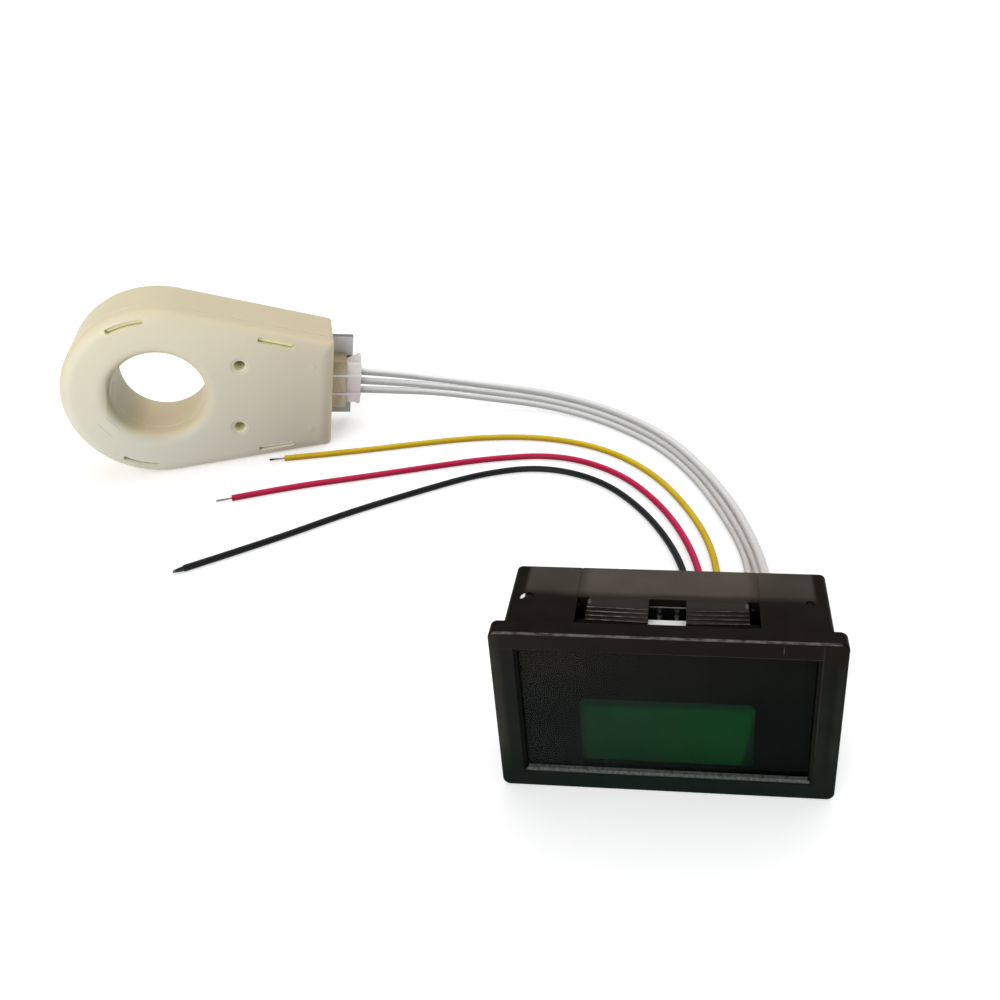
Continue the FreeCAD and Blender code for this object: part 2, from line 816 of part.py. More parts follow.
def trimmer_body(z):
    half = trimmer_side / 2
    front = sensor_board_front - trimmer_height
    body = box(trimmer_x - half, trimmer_x + half, front, sensor_board_front, z - half, z + half)
    return body.cut(rod(adjuster_radius + adjuster_slip, V(trimmer_x, front - past, z), V(0, 1, 0),
                        past + adjuster_sunk))


def trimmer_adjuster(z):
    front = sensor_board_front - trimmer_height - adjuster_proud
    height = adjuster_proud + adjuster_sunk - adjuster_slip
    disc = rod(adjuster_radius, V(trimmer_x, front, z), V(0, 1, 0), height)
    arm = adjuster_radius * cross_share
    half = cross_width / 2
    depth = front + cross_depth
    cross = [box(trimmer_x - arm, trimmer_x + arm, front - past, depth, z - half, z + half),
             box(trimmer_x - half, trimmer_x + half, front - past, depth, z - arm, z + arm)]
    return cut_all(disc, cross)


# Wires: straight runs joined by tangent arcs, through points chosen by hand.
# Each wire lies on the surface, and its first and last points come from what
# it meets. The heights of the chosen points are heights of the wire's lower
# side, so that a wire of any thickness lies on the surface.

def lifted(points, diameter):
    return [(x, y, z + diameter / 2) for x, y, z in points]


def tube(name, points, diameter):
    points = [V(*p) for p in points]
    edges = []
    start = points[0]
    radii = []
    for before, corner, after in zip(points, points[1:], points[2:]):
        inward = (corner - before).normalize()
        outward = (after - corner).normalize()
        run = min((corner - before).Length, (after - corner).Length)
        turn = inward.getAngle(outward)
        cut_back = bend_share * run
        radius = cut_back / math.tan(turn / 2)
        middle = (outward - inward).normalize() * (radius / math.cos(turn / 2) - radius)
        arc_start = corner - inward * cut_back
        arc_end = corner + outward * cut_back
        edges.append(Part.LineSegment(start, arc_start).toShape())
        edges.append(Part.Arc(arc_start, corner + middle, arc_end).toShape())
        start = arc_end
        radii.append(radius)
    edges.append(Part.LineSegment(start, points[-1]).toShape())
    path = Part.Wire(edges)
    ring = Part.Wire([Part.makeCircle(diameter / 2, points[0], points[1] - points[0])])
    solid = path.makePipeShell([ring], True, False)
    expected = math.pi * diameter ** 2 / 4 * path.Length
    lowest = min(point.z for point in solid.tessellate(0.1)[0])
    print("%s: length %.1f mm, tightest bend %.1f mm, volume %.4f of section x length, lowest %.3f"
          % (name, path.Length, min(radii), solid.Volume / expected, lowest))
    return solid


def strand(end, before, length):
    """Bare end of a wire, on from its last run."""
    end = V(*end)
    direction = (end - V(*before)).normalize()
    return rod(strand_diameter / 2, end, direction, length)


def lead_route(x, diameter, middle_points):
    """Out of the hole in the rear cover, then along the surface."""
    first = [(x, board_back, lead_height), (x, rear_y + lead_run, lead_height)]
    return first + lifted(middle_points, diameter)


black_route = lead_route(black_x, black_diameter, [
    (1.0, 32.0, 2.5), (3.2, 43.5, 0), (0.4, 57.0, 0), (-7.0, 71.4, 0), (-17.4, 82.9, 0),
    (-31.0, 87.9, 0), (-44.6, 84.6, 0), (-58.0, 76.4, 0), (-71.0, 67.3, 0), (-83.5, 56.9, 0),
    (-95.5, 48.4, 0)])
red_route = lead_route(red_x, red_diameter, [
    (3.6, 32.0, 2.55), (5.8, 43.5, 0), (3.3, 57.5, 0), (-3.0, 72.4, 0), (-13.2, 85.6, 0),
    (-27.6, 92.9, 0), (-43.5, 91.2, 0), (-58.5, 86.4, 0), (-73.0, 81.3, 0), (-86.5, 77.1, 0),
    (-98.5, 72.0, 0)])
yellow_route = lead_route(yellow_x, yellow_diameter, [
    (6.2, 32.0, 2.6), (8.5, 43.5, 0), (7.8, 57.0, 0), (3.2, 71.0, 0), (-5.2, 86.0, 0),
    (-17.5, 96.8, 0), (-33.0, 102.2, 0), (-49.0, 100.9, 0), (-64.5, 96.7, 0), (-79.0, 92.4, 0),
    (-92.9, 89.2, 0)])

# The white lead leaves the sensor's plug one wire above the other, and turns
# over along its way to lie side by side at the meter.
upper_middle = lifted([
    (-62.4, 115.8, 7.9), (-49.3, 118.2, 4.4), (-33.8, 117.6, 2.9), (-18.0, 110.1, 2.9),
    (-5.2, 98.5, 2.7), (5.1, 86.3, 1.6), (12.1, 72.1, 0), (16.1, 57.9, 0), (17.1, 45.0, 0),
    (16.3, 35.5, 3.8)], white_diameter)
centre_middle = lifted([
    (-62.0, 115.0, 6.4), (-49.0, 117.3, 2.9), (-34.0, 116.8, 1.4), (-18.6, 109.4, 1.4),
    (-6.1, 97.9, 1.3), (3.7, 85.4, 0.8), (10.6, 71.4, 0), (14.5, 57.5, 0), (15.4, 45.0, 0),
    (14.6, 35.5, 3.8)], white_diameter)
lower_middle = lifted([
    (-61.6, 114.2, 4.9), (-48.7, 116.4, 1.4), (-34.2, 116.0, 0), (-19.2, 108.7, 0),
    (-7.0, 97.3, 0), (2.3, 84.5, 0), (9.1, 70.7, 0), (12.9, 57.1, 0), (13.7, 45.0, 0),
    (12.9, 35.5, 3.8)], white_diameter)


def white_route(number, middle_points):
    """Ends come from the two plugs: out of the sensor's plug first, into the meter's plug last."""
    offset = contact_offsets()[number]
    out = plug_end + white_run
    first = [sensor_socket.multVec(V(x, 0, offset)) for x in (wire_start, out)]
    last = [meter_socket.multVec(V(x, 0, -offset)) for x in (out, wire_start)]
    return [tuple(p) for p in first] + middle_points + [tuple(p) for p in last]


def write(name, shape):
    shape.exportStep("parts/" + name + ".step")
    solids = shape.Solids
    if not shape.isValid() or not solids:
        print("check", name, "valid", shape.isValid(), "solids", len(solids))


def build():
    parts = {}
    parts["housing"] = housing()
    for name, shape in zip(("top_right", "top_left", "bottom_right", "bottom_left"), four_ways(finger())):
        parts["snap_finger_" + name] = shape
    parts["front_lens"] = front_lens()
    parts["display_mask"] = display_mask()
    parts["display_glass"] = display_glass()
    parts["display_backlight"] = display_backlight()
    parts["display_pins"] = display_pins()
    parts["main_board"] = main_board()
    parts["measuring_chip"] = measuring_chip()
    parts["voltage_regulator"] = regulator()
    parts["board_capacitors"] = capacitors()
    parts["meter_header"] = placed(header_shell(), meter_socket)
    parts["meter_header_pins"] = placed(straight_contacts(board_thickness + solder_reach), meter_socket)
    parts["rear_cover"] = rear_cover()
    parts["meter_plug"] = placed(plug_shell(), meter_socket)
    parts["meter_plug_terminals"] = placed(plug_terminals(), meter_socket)
    parts["sensor_case"] = placed(sensor_case(), stand)
    parts["sensor_lid"] = placed(sensor_lid(), stand)
    parts["flux_core"] = placed(flux_core(), stand)
    parts["hall_element"] = placed(hall_element(), stand)
    parts["sensor_board"] = placed(sensor_board(), stand)
    parts["amplifier_chip"] = placed(amplifier_chip(), stand)
    parts["sensor_capacitors"] = placed(sensor_capacitors(), stand)
    for name, z in (("upper", trimmer_z), ("lower", -trimmer_z)):
        parts["trimmer_body_" + name] = placed(trimmer_body(z), stand)
        parts["trimmer_adjuster_" + name] = placed(trimmer_adjuster(z), stand)
    parts["sensor_header"] = placed(header_shell(), sensor_socket)
    legs = header_depth / 2 + sensor_board_thickness + solder_reach
    parts["sensor_header_pins"] = placed(bent_contacts(contact_bend, legs), sensor_socket)
    parts["sensor_plug"] = placed(plug_shell(), sensor_socket)
    parts["sensor_plug_terminals"] = placed(plug_terminals(), sensor_socket)
    parts["sensor_wire_upper"] = tube("sensor_wire_upper", white_route(2, upper_middle), white_diameter)
    parts["sensor_wire_middle"] = tube("sensor_wire_middle", white_route(1, centre_middle), white_diameter)
    parts["sensor_wire_lower"] = tube("sensor_wire_lower", white_route(0, lower_middle), white_diameter)
    for colour, route, diameter in (("black", black_route, black_diameter), ("red", red_route, red_diameter),
                                    ("yellow", yellow_route, yellow_diameter)):
        parts["wire_" + colour] = tube("wire_" + colour, route, diameter)
        parts["wire_" + colour + "_strands"] = strand(route[-1], route[-2], strand_length)
    return parts


os.makedirs("parts", exist_ok=True)
for part_name, part_shape in build().items():
    write(part_name, part_shape)
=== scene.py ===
"""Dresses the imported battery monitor: camera, light, wires and the finish of each surface."""

import functools
import json
import math
from types import SimpleNamespace

import bpy
from mathutils import Matrix, Vector


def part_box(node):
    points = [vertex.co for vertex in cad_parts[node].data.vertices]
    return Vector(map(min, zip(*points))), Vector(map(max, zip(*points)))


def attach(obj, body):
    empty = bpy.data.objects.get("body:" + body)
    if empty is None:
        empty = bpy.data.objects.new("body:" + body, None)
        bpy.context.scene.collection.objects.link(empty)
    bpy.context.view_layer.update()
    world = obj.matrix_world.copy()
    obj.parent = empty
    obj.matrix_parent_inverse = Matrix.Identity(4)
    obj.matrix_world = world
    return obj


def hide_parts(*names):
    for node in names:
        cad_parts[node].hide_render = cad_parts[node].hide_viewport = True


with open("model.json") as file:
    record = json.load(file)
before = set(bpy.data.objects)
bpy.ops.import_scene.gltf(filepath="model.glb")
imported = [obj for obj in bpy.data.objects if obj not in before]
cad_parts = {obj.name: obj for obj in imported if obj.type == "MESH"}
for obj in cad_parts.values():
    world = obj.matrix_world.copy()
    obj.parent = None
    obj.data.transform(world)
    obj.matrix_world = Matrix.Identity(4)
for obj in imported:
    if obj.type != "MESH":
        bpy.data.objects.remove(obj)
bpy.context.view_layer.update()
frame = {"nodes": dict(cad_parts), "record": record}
nodes = frame["nodes"]

MM = 0.001
ACROSS, BACK, UP = 0, 1, 2


def mm(*point):
    return Vector(point) * MM


# Camera, as it stood in front of the object

camera_place = mm(3.31, -101.9, 118.37)
camera_right = Vector((0.9954, 0.0901, -0.0333))
camera_forward = Vector((-0.0952, 0.8798, -0.4657))
camera_focal = 979.6
camera_centre = (600, 400)
photo_side = 1000


def add_camera():
    data = bpy.data.cameras.new("camera")
    data.sensor_width = 36
    data.lens = camera_focal * data.sensor_width / photo_side
    data.shift_x = 0.5 - camera_centre[0] / photo_side
    data.shift_y = camera_centre[1] / photo_side - 0.5
    data.clip_start = 0.005
    camera = bpy.data.objects.new("camera", data)
    bpy.context.scene.collection.objects.link(camera)
    back = -camera_forward.normalized()
    right = (camera_right - camera_right.dot(back) * back).normalized()
    up = back.cross(right)
    turn = Matrix((right, up, back)).transposed().to_4x4()
    camera.matrix_world = Matrix.Translation(camera_place) @ turn
    bpy.context.scene.camera = camera


# Middle of the sensor's bore at its front face, and the sensor's own directions: along it towards
# the plug, back from its lid, and up across it

sensor_middle = mm(-116.3, 82.65, 20)
sensor_along = (0.91374, 0.36177, -0.18495)
sensor_back = (-0.36812, 0.92978, 0)
sensor_up = (0.17196, 0.06808, 0.98275)


def opposite(direction):
    return tuple(-part for part in direction)


def tint(colour, factor):
    return tuple(part * factor for part in colour)


# Finishes

class Shader:
    """A material's node tree, with a short call for each step of a finish.

    Sizes and places are in millimetres on the object, except where a call says otherwise. Values
    are plain numbers or what another call gave.
    """

    def __init__(self, name, base, roughness, **inputs):
        self.material = bpy.data.materials.new(name)
        self.material.use_nodes = True
        self.tree = self.material.node_tree
        self.surface = self.tree.nodes["Principled BSDF"]
        self.set(self.surface, "Base Color", (*base, 1))
        self.set(self.surface, "Roughness", roughness)
        for key, value in inputs.items():
            self.set(self.surface, key.replace("_", " "), value)
        self.place = self.add("ShaderNodeTexCoord").outputs["Object"]
        self.normal = None

    def add(self, kind, **settings):
        node = self.tree.nodes.new(kind)
        for key, value in settings.items():
            setattr(node, key, value)
        return node

    def set(self, node, socket, value):
        """Gives a socket a number, or links another socket to it."""
        if isinstance(value, bpy.types.NodeSocket):
            self.tree.links.new(value, node.inputs[socket])
        else:
            node.inputs[socket].default_value = value

    def colour(self, value):
        self.set(self.surface, "Base Color", value)

    def roughness(self, value):
        self.set(self.surface, "Roughness", value)

    def bump(self, height, depth):
        """Adds relief to the surface, up to the depth."""
        node = self.add("ShaderNodeBump")
        self.set(node, "Height", height)
        self.set(node, "Distance", depth * MM)
        self.set(node, "Strength", 1.0)
        if self.normal is not None:
            self.set(node, "Normal", self.normal)
        self.normal = node.outputs[0]
        self.set(self.surface, "Normal", self.normal)

    # Sums on values

    def math(self, operation, a, b=0.0):
        node = self.add("ShaderNodeMath", operation=operation)
        self.set(node, 0, a)
        self.set(node, 1, b)
        return node.outputs[0]

    def plus(self, a, b):
        return self.math("ADD", a, b)

    def minus(self, a, b):
        return self.math("SUBTRACT", a, b)

    def times(self, *values):
        return functools.reduce(lambda a, b: self.math("MULTIPLY", a, b), values)

    def most(self, *values):
        return functools.reduce(lambda a, b: self.math("MAXIMUM", a, b), values)

    def absolute(self, value):
        return self.math("ABSOLUTE", value)

    def distance(self, a, b):
        """Length of the slope whose two sides are given."""
        return self.math("SQRT", self.plus(self.times(a, a), self.times(b, b)))

    def ramp(self, value, low, high, out_low=0.0, out_high=1.0):
        """Straight slope between two values, level beyond them. All four are plain values."""
        node = self.add("ShaderNodeMapRange")
        self.set(node, "Value", value)
        self.set(node, "From Min", low)
        self.set(node, "From Max", high)
        self.set(node, "To Min", out_low)
        self.set(node, "To Max", out_high)
        return node.outputs[0]

    def mix(self, factor, a, b):
        """The first colour where the factor is nothing, and the second where it is one."""
        node = self.add("ShaderNodeMix", data_type="RGBA")
        self.set(node, 0, factor)
        for index, colour in ((6, a), (7, b)):
            if isinstance(colour, tuple):
                colour = (*colour, 1)
            self.set(node, index, colour)
        return node.outputs[2]

    # Places on the object

    def coordinate(self, axis):
        node = self.add("ShaderNodeSeparateXYZ")
        self.set(node, 0, self.place)
        return node.outputs[axis]

    def on_sensor(self, direction):
        """How far a place lies from the sensor's middle, along one of the sensor's directions."""
        dot = self.add("ShaderNodeVectorMath", operation="DOT_PRODUCT")
        self.set(dot, 0, self.place)
        self.set(dot, 1, direction)
        return self.minus(dot.outputs["Value"], sensor_middle.dot(Vector(direction)))

    def fade(self, value, low, high, out_low=0.0, out_high=1.0):
        """A ramp between two places."""
        return self.ramp(value, low * MM, high * MM, out_low, out_high)

    def above(self, place, low, soft):
        """One above a limit, fading over a width."""
        return self.fade(place, low - soft, low)

    def below(self, place, high, soft):
        """One below a limit, fading over a width."""
        return self.fade(place, high, high + soft, 1.0, 0.0)

    def within(self, place, low, high, soft):
        """One between two limits, fading over a width."""
        return self.times(self.above(place, low, soft), self.below(place, high, soft))

    # Directions in which the surface looks

    def lean(self, direction):
        """One on faces that look straight along a direction, minus one on those straight away."""
        dot = self.add("ShaderNodeVectorMath", operation="DOT_PRODUCT")
        self.set(dot, 0, self.add("ShaderNodeNewGeometry").outputs["Normal"])
        self.set(dot, 1, direction)
        return dot.outputs["Value"]

    def facing(self, direction, low=0.4, high=0.8):
        """One on faces that look along a direction."""
        return self.ramp(self.lean(direction), low, high)

    # Uneven values

    def noise(self, size, detail=3, stretch=(1, 1, 1)):
        """Soft noise of a size, drawn out along an axis where its stretch is below one."""
        mapping = self.add("ShaderNodeMapping")
        self.set(mapping, "Vector", self.place)
        self.set(mapping, "Scale", tuple(part / (size * MM) for part in stretch))
        node = self.add("ShaderNodeTexNoise")
        self.set(node, "Vector", mapping.outputs[0])
        self.set(node, "Scale", 1.0)
        self.set(node, "Detail", detail)
        return node.outputs["Fac"]

    def cloud(self, size, detail, low, high, out_low=0.0, out_high=1.0, stretch=(1, 1, 1)):
        """Noise with more contrast: a ramp between two of its levels."""
        return self.ramp(self.noise(size, detail, stretch), low, high, out_low, out_high)

    def wobble(self, size, detail, amount):
        """Noise on both sides of nothing, up to half the amount."""
        return self.times(self.minus(self.noise(size, detail), 0.5), amount)


# The meter's case. Heights are above the surface and depths are behind the bezel's middle.

finger_sides = (2.7, 11.35)
first_ridge = 3.35
ridge_pitch = 0.87
pip_across, pip_depth = 20, 8.55


def case_black():
    """Black plastic: warm on top, with a painted reflection on the rear of the top, painted
    highlights along the upper edges and a painted highlight on the ledge.
    """
    shader = Shader("case_black", (0.007, 0.006, 0.005), 0.5, Specular_IOR_Level=0.05)
    across, depth, height = (shader.coordinate(axis) for axis in (ACROSS, BACK, UP))
    at = SimpleNamespace(
        across=across, outward=shader.absolute(across), depth=depth, height=height,
        up=shader.facing((0, 0, 1), 0.5, 0.9), front=shader.facing((0, -1, 0), 0.5, 0.9),
        top=shader.above(height, 26.8, 0.2))
    colour = case_plain(shader, at)
    for layer in (case_reflection, case_ledge_highlight, case_edge_highlights, case_fingers, case_glints_and_nick):
        colour = layer(shader, at, colour)
    shader.colour(colour)
    shader.roughness(shader.cloud(4, 4, 0.3, 0.7, 0.42, 0.6))
    shader.bump(shader.noise(0.22, 3), 0.006)
    shader.bump(shader.noise(5, 2), 0.03)
    return shader.material


def case_plain(shader, at):
    """Warm black. The bezel's front has a painted highlight along its left and right edges, with a
    band of painted shade just inside the right one; it is brownish above the window and dark green
    below it, and the window's left wall is darkened with painted shade."""
    # Painted highlight on the left edge of the bezel's front.
    left_edge_highlight = (0.037, 0.035, 0.028)
    face = shader.mix(shader.fade(at.across, -24.3, -22.5), left_edge_highlight, (0.0085, 0.0102, 0.0079))
    # Painted shade in a band just inside the bezel's right edge, then a painted highlight at the
    # edge.
    face = shader.mix(shader.fade(at.across, 21.6, 22.6), face, (0.005, 0.006, 0.0045))
    face = shader.mix(shader.fade(at.across, 22.6, 23.3), face, (0.0125, 0.0148, 0.0118))
    brow = shader.mix(shader.fade(at.across, -21, 4),
                      (0.0125, 0.0108, 0.008), (0.0084, 0.0058, 0.0032))
    face = shader.mix(shader.fade(at.height, 24, 26.6), face, brow)
    face = shader.mix(shader.fade(at.across, -24.3, -22.3, 0.7, 0), face, left_edge_highlight)
    face = shader.mix(shader.fade(at.height, 9, 2.4), face, (0.0019, 0.0088, 0.0056))
    colour = shader.mix(at.front, (0.0066, 0.0045, 0.0018), face)
    # Painted shade on the window's left wall.
    left_wall_shade = shader.times(shader.facing((1, 0, 0), 0.3, 0.6),
                             shader.within(at.depth, -3, -0.2, 0.1))
    colour = shader.mix(left_wall_shade, colour, (0.0015, 0.0018, 0.0015))
    return shader.mix(shader.cloud(8, 4, 0.35, 0.65, 0, 0.3), colour, (0.004, 0.0035, 0.003))


def case_reflection(shader, at, colour):
    """Painted reflection on the rear of the top, strongest in the middle, with a soft uneven front
    edge, and a faint painted reflection on the fingers."""
    wander = shader.wobble(13, 2, 3 * MM)
    uneven_depth = shader.plus(at.depth, shader.times(wander, 0.45))
    middle = shader.within(shader.plus(at.across, wander), -11.2, 11.2, 1.2)
    reflection = shader.times(
        shader.above(uneven_depth, 9.9, 1.5), shader.fade(at.depth, 9, 13, 0.78, 1.0),
        shader.within(at.across, -20.4, 20.5, 0.6), at.up, at.top,
        shader.ramp(middle, 0, 1, 0.62, 0.97), shader.cloud(6, 4, 0.3, 0.7, 0.76, 1.0))
    thin = shader.times(
        shader.within(at.depth, 6.7, 12, 0.2), at.up, at.top, 0.24,
        shader.below(at.outward, 11.2, 0.1))
    return shader.mix(shader.most(reflection, thin), colour, (0.094, 0.08, 0.061))


def case_ledge_highlight(shader, at, colour):
    """Painted highlight: grey light on the upward-facing ledge below the lens, broken up by noise.
    """
    ledge = shader.times(
        shader.facing((0, 0, 1), 0.55, 0.65), shader.within(at.height, 1.5, 5, 0.3),
        shader.within(at.depth, -0.98, 0.2, 0.12), shader.cloud(0.45, 4, 0.32, 0.6, 0.45, 1.0))
    return shader.mix(ledge, colour, (0.106, 0.124, 0.112))


def case_edge_highlights(shader, at, colour):
    """Painted highlights: a speckled line along the front edge of the bezel's top, and the narrow
    lit edge round the window.
    """
    edge_highlight = shader.times(
        shader.facing((0, -0.707, 0.707), 0.8, 0.93), shader.within(at.depth, -1.4, -0.8, 0.05),
        at.top, shader.within(at.across, -23.4, 23.0, 0.3),
        shader.cloud(0.5, 4, 0.36, 0.6, 0.25, 1.0, (0.35, 1, 1)))
    colour = shader.mix(edge_highlight, colour, (0.118, 0.112, 0.102))
    # Painted highlight along the window's upper and right edges.
    upper = shader.times(
        at.front, shader.within(at.height, 26.42, 26.5, 0.07),
        shader.fade(at.across, -8, 4, 0.1, 0.5), shader.below(at.across, 20.8, 0.1))
    right = shader.times(
        at.front, shader.within(at.across, 20.86, 20.94, 0.07),
        shader.within(at.height, 12, 26.4, 4), 0.45)
    return shader.mix(shader.most(upper, right), colour, (0.045, 0.05, 0.044))


def case_fingers(shader, at, colour):
    """Fingers: painted light lifting the shade in their ridged zone, painted highlights along each
    crest, fading inwards and to the right, and the pip holes beside them, lightened with painted
    light against their shade."""
    ridge_light = shader.times(
        shader.within(at.depth, 3.3, 6.8, 0.1), shader.above(at.height, 26.9, 0.1),
        shader.within(at.outward, *finger_sides, 0.05), 0.85)
    colour = shader.mix(ridge_light, colour, (0.026, 0.021, 0.017))
    # Painted light in the pip holes, lifting their shade.
    from_pip = shader.distance(shader.minus(at.outward, pip_across * MM),
                               shader.minus(at.depth, pip_depth * MM))
    hole = shader.times(shader.below(from_pip, 0.72, 0.03),
                        shader.within(at.height, 26, 27.84, 0.02))
    colour = shader.mix(hole, colour, (0.013, 0.01, 0.007))
    ridge = shader.math("DIVIDE", shader.minus(at.depth, first_ridge * MM), ridge_pitch * MM)
    crest_highlights = shader.times(
        shader.ramp(shader.math("FRACT", ridge), 0.34, 0.12),
        shader.within(at.depth, 3.34, 6.75, 0.01), at.up, shader.above(at.height, 27.7, 0.05),
        shader.within(at.outward, *finger_sides, 0.02),
        shader.cloud(0.5, 3, 0.42, 0.62, 0.15, 1.0, (0.35, 1, 1)),
        shader.fade(at.outward, 3, 8, 0.35, 1.0), shader.fade(at.across, -10, 4, 1.0, 0.4))
    return shader.mix(crest_highlights, colour, (0.3, 0.275, 0.245))


def case_glints_and_nick(shader, at, colour):
    """Painted glint on the cover's pip at the left, painted highlights on the finger corners, and a
    pale nick in the bezel.
    """
    slanted = shader.minus(at.across, shader.times(at.depth, 0.35))
    from_glint = shader.distance(shader.plus(slanted, 23.74 * MM),
                                 shader.times(shader.minus(at.depth, 8.26 * MM), 0.55))
    pip = shader.times(shader.below(from_glint, 0.22, 0.14), at.top)
    corners = shader.times(
        shader.within(at.outward, 11.0, 11.3, 0.12), shader.within(at.depth, 7.2, 7.9, 0.2),
        at.up, at.top, 0.07)
    nick = shader.times(
        shader.within(at.across, 15.62, 15.68, 0.05), shader.within(at.height, 27.4, 28.2, 0.4),
        at.front, 0.07)
    return shader.mix(shader.most(pip, corners, nick), colour, (0.85, 0.83, 0.8))


def moulded(name, base, roughness, mottle=0.06, mottle_size=7.0, grain=0.012, grain_size=0.28,
            **inputs):
    """Moulded plastic: a little cloudy in colour and gloss, with a fine grain."""
    shader = Shader(name, base, roughness, **inputs)
    shader.colour(shader.mix(shader.cloud(mottle_size, 4, 0.3, 0.7),
                             tint(base, 1 - mottle), tint(base, 1 + mottle)))
    shader.roughness(shader.cloud(mottle_size / 3, 3, 0.3, 0.7, roughness - 0.05, roughness + 0.05))
    shader.bump(shader.noise(grain_size, 2), grain)
    return shader.material


def mask_black():
    return moulded("mask_black", (0.005, 0.006, 0.0055), 0.6, mottle=0.2, grain=0.002,
                   Specular_IOR_Level=0.08)


def diffuser_white():
    return moulded("diffuser_white", (0.97, 0.96, 0.9), 0.5, mottle=0.015)


def chip_black():
    return moulded("chip_black", (0.018, 0.018, 0.02), 0.55, mottle=0.15, mottle_size=2.0,
                   grain=0.01, grain_size=0.12)


def ceramic_tan():
    return moulded("ceramic_tan", (0.36, 0.25, 0.15), 0.4, mottle=0.1, mottle_size=1.5)


def core_ferrite():
    return moulded("core_ferrite", (0.03, 0.03, 0.033), 0.5, mottle=0.2, mottle_size=2.0,
                   grain=0.03, grain_size=0.4)


def trimmer_blue():
    return moulded("trimmer_blue", (0.01, 0.06, 0.36), 0.35, mottle=0.1, mottle_size=1.5)


def smoked_acrylic():
    """Dark see-through plate, faintly green, with a painted reflection that is lighter at the left
    and towards the top and thins out to the right.
    """
    shader = Shader("smoked_acrylic", (0.0035, 0.006, 0.005), 0.2, Specular_IOR_Level=0.08,
                    Alpha=0.45)
    rightwards = shader.plus(shader.fade(shader.coordinate(ACROSS), -21, 16),
                             shader.wobble(12, 3, 0.5))
    upper = shader.fade(shader.coordinate(UP), 15, 23, 0, 0.9)
    left = shader.mix(upper, (0.013, 0.0185, 0.0165), (0.027, 0.0245, 0.0175))
    right = shader.mix(upper, (0.0003, 0.0018, 0.0012), (0.0042, 0.0058, 0.003))
    shader.colour(shader.mix(rightwards, left, right))
    shader.roughness(shader.cloud(5, 4, 0.35, 0.7, 0.12, 0.3))
    shader.bump(shader.noise(14, 1), 0.02)
    return shader.material


def display_green():
    """Unlit display: dull green, stronger to the right, with painted shade dimming it at its left,
    its top and its lower right.
    """
    shader = Shader("display_green", (0.0, 0.3, 0.05), 0.35, Specular_IOR_Level=0.2)
    across = shader.coordinate(ACROSS)
    height = shader.coordinate(UP)
    rightwards = shader.plus(shader.fade(across, -13, 11), shader.wobble(8, 3, 0.5))
    green = shader.mix(rightwards, (0.008, 0.22, 0.045), (0.001, 0.38, 0.05))
    # Painted shade at the left, lower right and top of the display.
    left = shader.fade(across, -12.7, -11.6, 0.75, 0)
    right = shader.fade(shader.minus(across, shader.times(height, 0.15)), 10.2, 10.9, 0, 0.8)
    top = shader.fade(shader.minus(height, shader.times(across, 0.02)), 13.2, 14.2, 0, 0.7)
    shader.colour(shader.mix(shader.most(right, left, top), green, (0.001, 0.05, 0.015)))
    shader.bump(shader.noise(6, 2), 0.01)
    return shader.material


def metal(name, base, size, gloss, grain_size, grain, stretch=(1, 1, 1)):
    """Bright metal with gloss that varies between two roughnesses, and a fine grain."""
    shader = Shader(name, base, 0.3, Metallic=1.0)
    shader.roughness(shader.cloud(size, 3, 0.3, 0.7, *gloss, stretch))
    shader.bump(shader.noise(grain_size, 2), grain)
    return shader.material


def tinned_pin():
    return metal("tinned_pin", (0.62, 0.6, 0.56), 0.8, (0.22, 0.42), 0.15, 0.004, (1, 4, 1))


def adjuster_brass():
    return metal("adjuster_brass", (0.72, 0.53, 0.24), 0.5, (0.25, 0.45), 0.12, 0.005)


def board(name, base, across, edge, gloss, marks):
    """Circuit board: woven solder mask on its two faces, bare glass fibre on its cut edges."""
    weave_size = 0.5
    shader = Shader(name, base, 0.4, Coat_Weight=gloss, Coat_Roughness=0.2, Specular_IOR_Level=0.3)
    weave = shader.add("ShaderNodeTexChecker")
    shader.set(weave, "Vector", shader.place)
    shader.set(weave, "Scale", 1 / (weave_size * MM))
    woven = shader.mix(shader.times(weave.outputs["Fac"], 0.35), tint(base, 0.92), tint(base, 1.15))
    face = shader.mix(shader.cloud(4, 3, 0.35, 0.65), tint(base, 0.85), woven)
    fibre = shader.mix(shader.cloud(0.5, 3, 0.3, 0.7, stretch=(1, 1, 5)), tint(edge, 0.8), edge)
    flat = shader.most(shader.facing(across), shader.facing(opposite(across)))
    shader.colour(marks(shader, shader.mix(flat, fibre, face)))
    shader.bump(shader.noise(0.4, 2), 0.01)
    return shader.material


def board_green():
    """The meter's board, with a painted highlight along its top edge: a grey line in the middle and
    grey specks towards the sides.
    """
    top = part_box("main_board")[1][UP] / MM

    def lit_top_line(shader, colour):
        line = shader.above(shader.coordinate(UP), top - 0.42, 0.1)
        middle = shader.within(shader.coordinate(ACROSS), -2.7, 2.7, 0.1)
        specks = shader.cloud(0.7, 2, 0.5, 0.62, 0.0, 0.6)
        pale_line = shader.times(line, shader.most(middle, specks))
        return shader.mix(pale_line, colour, (0.5, 0.49, 0.46))
    return board("board_green", (0.002, 0.0035, 0.0024), (0, 1, 0), (0.2, 0.18, 0.13), 0.1, lit_top_line)


